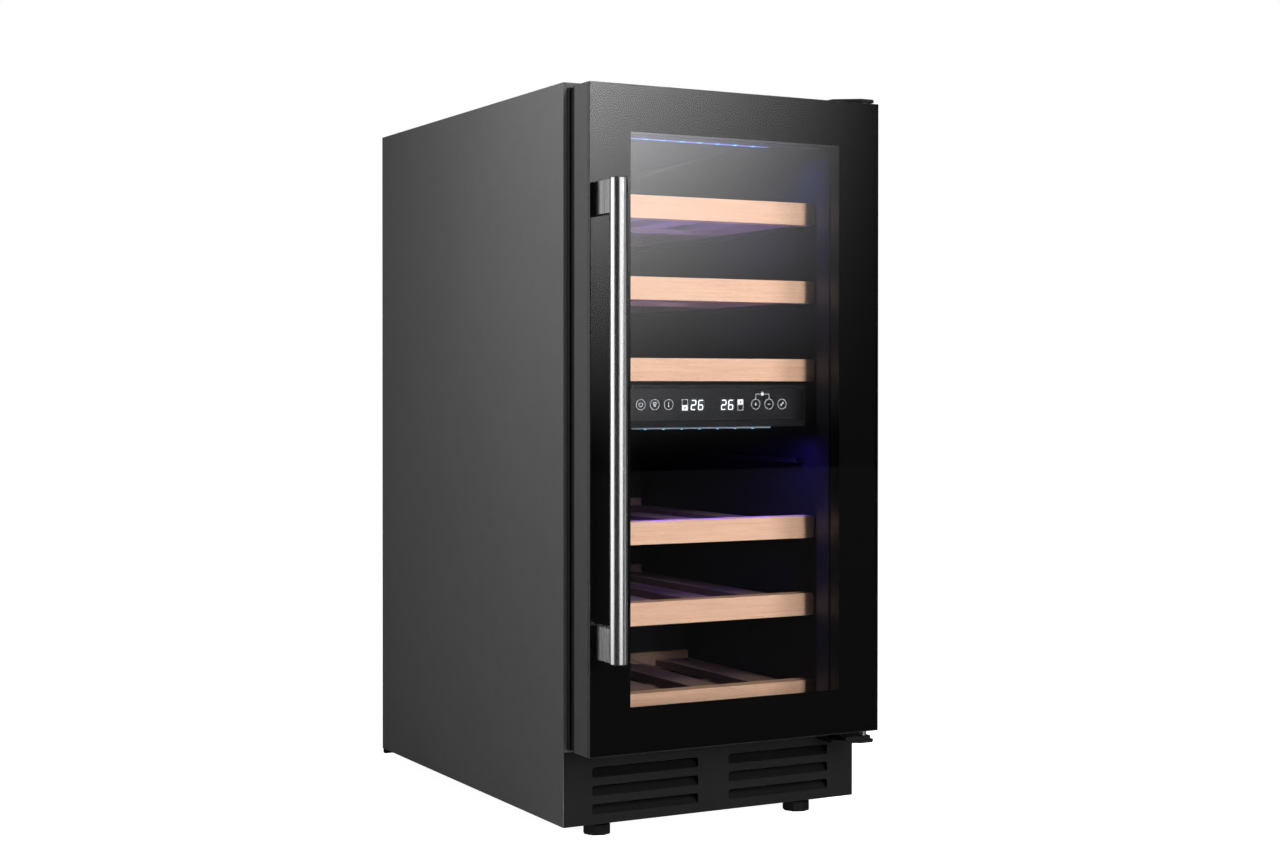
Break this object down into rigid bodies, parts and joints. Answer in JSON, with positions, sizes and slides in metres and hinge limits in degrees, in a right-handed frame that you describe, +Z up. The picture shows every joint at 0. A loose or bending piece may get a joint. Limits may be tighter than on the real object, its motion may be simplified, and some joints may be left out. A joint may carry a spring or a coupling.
{
  "type": "wine cooler",
  "caption": "Free-standing two-zone wine cooler with a hinged glass door, bar handle, sliding wooden shelves, front vent grille and compressor cooling.",
  "frame": {"origin": "on the floor, under the middle of the whole object's footprint (handle front to cabinet back)", "axes": "+Z up; +X to the right as seen from the front; +Y towards the back, so the door faces -Y"},
  "size_m": [0.38, 0.6198, 0.82],
  "materials": {
    "cabinet_paint": "satin",
    "galvanised_sheet": "satin",
    "black_steel": "satin",
    "frame_paint": "satin",
    "compressor_paint": "gloss",
    "liner_plastic": "satin",
    "fan_plastic": "satin",
    "foot_plastic": "matte",
    "white_plastic": "satin",
    "circuit_board": "gloss",
    "led_lens": "gloss",
    "foam": "matte",
    "black_glass": "gloss",
    "tinted_glass": "gloss",
    "clear_glass": "gloss",
    "bare_aluminium": "satin",
    "spacer_metal": "satin",
    "copper_tube": "satin",
    "bright_steel": "polished",
    "brushed_stainless": "satin",
    "black_rubber": "matte",
    "beech_front": "satin",
    "beech_slats": "matte"
  },
  "bodies": {
    "cabinet": {"side_panel_left": "cabinet_paint", "side_panel_right": "cabinet_paint", "top_panel": "cabinet_paint", "back_panel": "galvanised_sheet", "compressor_cover": "galvanised_sheet", "base_pan": "black_steel", "machine_panel": "galvanised_sheet", "kick_grille": "black_steel", "inner_liner": "liner_plastic", "insulation_foam": "foam", "shelf_runners": "liner_plastic", "zone_divider": "liner_plastic", "control_panel": "black_glass", "control_board": "circuit_board", "led_strips": "led_lens", "evaporator_covers": "liner_plastic", "evaporators": "bare_aluminium", "temperature_sensors": "white_plastic", "fan_motors": "fan_plastic", "compressor_lower_shell": "compressor_paint", "compressor_upper_shell": "compressor_paint", "compressor_grommets": "black_rubber", "condenser_coil": "copper_tube", "condenser_fan_frame": "fan_plastic", "drain_tray": "liner_plastic", "power_inlet": "liner_plastic", "hinge_bracket_top": "black_steel", "hinge_bracket_bottom": "black_steel", "hinge_anchors": "galvanised_sheet", "hinge_pins": "bright_steel", "cabinet_screws": "bright_steel"},
    "door": {"door_glass_outer": "tinted_glass", "glass_spacer": "spacer_metal", "door_glass_inner": "clear_glass", "door_frame": "frame_paint", "door_liner": "liner_plastic", "door_gasket": "black_rubber", "door_bushes": "white_plastic", "handle_bar": "brushed_stainless", "handle_posts": "brushed_stainless", "handle_screws": "bright_steel"},
    "shelf_1": {"shelf_1_front": "beech_front", "shelf_1_rack": "beech_slats"},
    "shelf_2": {"shelf_2_front": "beech_front", "shelf_2_rack": "beech_slats"},
    "shelf_3": {"shelf_3_front": "beech_front", "shelf_3_rack": "beech_slats"},
    "shelf_4": {"shelf_4_front": "beech_front", "shelf_4_rack": "beech_slats"},
    "shelf_5": {"shelf_5_front": "beech_front", "shelf_5_rack": "beech_slats"},
    "shelf_6": {"shelf_6_front": "beech_front", "shelf_6_rack": "beech_slats"},
    "upper_fan_rotor": {"fan_upper": "fan_plastic"},
    "lower_fan_rotor": {"fan_lower": "fan_plastic"},
    "condenser_fan_rotor": {"condenser_fan": "fan_plastic"},
    "foot_front_left": {"foot_front_left": "foot_plastic"},
    "foot_front_right": {"foot_front_right": "foot_plastic"},
    "foot_rear_left": {"foot_rear_left": "foot_plastic"},
    "foot_rear_right": {"foot_rear_right": "foot_plastic"}
  },
  "joints": [
    {"name": "door_hinge", "type": "hinge", "parent": "cabinet", "child": "door", "pos_m": [0.179, -0.24105, 0.457], "axis": [0, 0, 1], "range_deg": [0, 130]},
    {"name": "shelf_1_slide", "type": "slide", "parent": "cabinet", "child": "shelf_1", "axis": [0, -1, 0], "range_m": [0, 0.07]},
    {"name": "shelf_2_slide", "type": "slide", "parent": "cabinet", "child": "shelf_2", "axis": [0, -1, 0], "range_m": [0, 0.07]},
    {"name": "shelf_3_slide", "type": "slide", "parent": "cabinet", "child": "shelf_3", "axis": [0, -1, 0], "range_m": [0, 0.07]},
    {"name": "shelf_4_slide", "type": "slide", "parent": "cabinet", "child": "shelf_4", "axis": [0, -1, 0], "range_m": [0, 0.07]},
    {"name": "shelf_5_slide", "type": "slide", "parent": "cabinet", "child": "shelf_5", "axis": [0, -1, 0], "range_m": [0, 0.07]},
    {"name": "shelf_6_slide", "type": "slide", "parent": "cabinet", "child": "shelf_6", "axis": [0, -1, 0], "range_m": [0, 0.07]},
    {"name": "upper_fan_spin", "type": "hinge", "parent": "cabinet", "child": "upper_fan_rotor", "pos_m": [0, 0.24995, 0.725], "axis": [0, 1, 0], "continuous": true},
    {"name": "lower_fan_spin", "type": "hinge", "parent": "cabinet", "child": "lower_fan_rotor", "pos_m": [0, 0.24995, 0.389], "axis": [0, 1, 0], "continuous": true},
    {"name": "condenser_fan_spin", "type": "hinge", "parent": "cabinet", "child": "condenser_fan_rotor", "pos_m": [-0.0328, 0.22525, 0.0775], "axis": [1, 0, 0], "continuous": true},
    {"name": "foot_front_left_turn", "type": "hinge", "parent": "cabinet", "child": "foot_front_left", "pos_m": [-0.132, -0.17505, 0.01], "axis": [0, 0, 1], "continuous": true},
    {"name": "foot_front_right_turn", "type": "hinge", "parent": "cabinet", "child": "foot_front_right", "pos_m": [0.132, -0.17505, 0.01], "axis": [0, 0, 1], "continuous": true},
    {"name": "foot_rear_left_turn", "type": "hinge", "parent": "cabinet", "child": "foot_rear_left", "pos_m": [-0.132, 0.24995, 0.01], "axis": [0, 0, 1], "continuous": true},
    {"name": "foot_rear_right_turn", "type": "hinge", "parent": "cabinet", "child": "foot_rear_right", "pos_m": [0.132, 0.24995, 0.01], "axis": [0, 0, 1], "continuous": true}
  ],
  "couplings": [
    {"joint": "shelf_1_slide", "follows": "door_hinge", "m_per_rad": 0.03},
    {"joint": "shelf_2_slide", "follows": "door_hinge", "m_per_rad": 0.03},
    {"joint": "shelf_3_slide", "follows": "door_hinge", "m_per_rad": 0.03},
    {"joint": "shelf_4_slide", "follows": "door_hinge", "m_per_rad": 0.03},
    {"joint": "shelf_5_slide", "follows": "door_hinge", "m_per_rad": 0.03},
    {"joint": "shelf_6_slide", "follows": "door_hinge", "m_per_rad": 0.03}
  ]
}
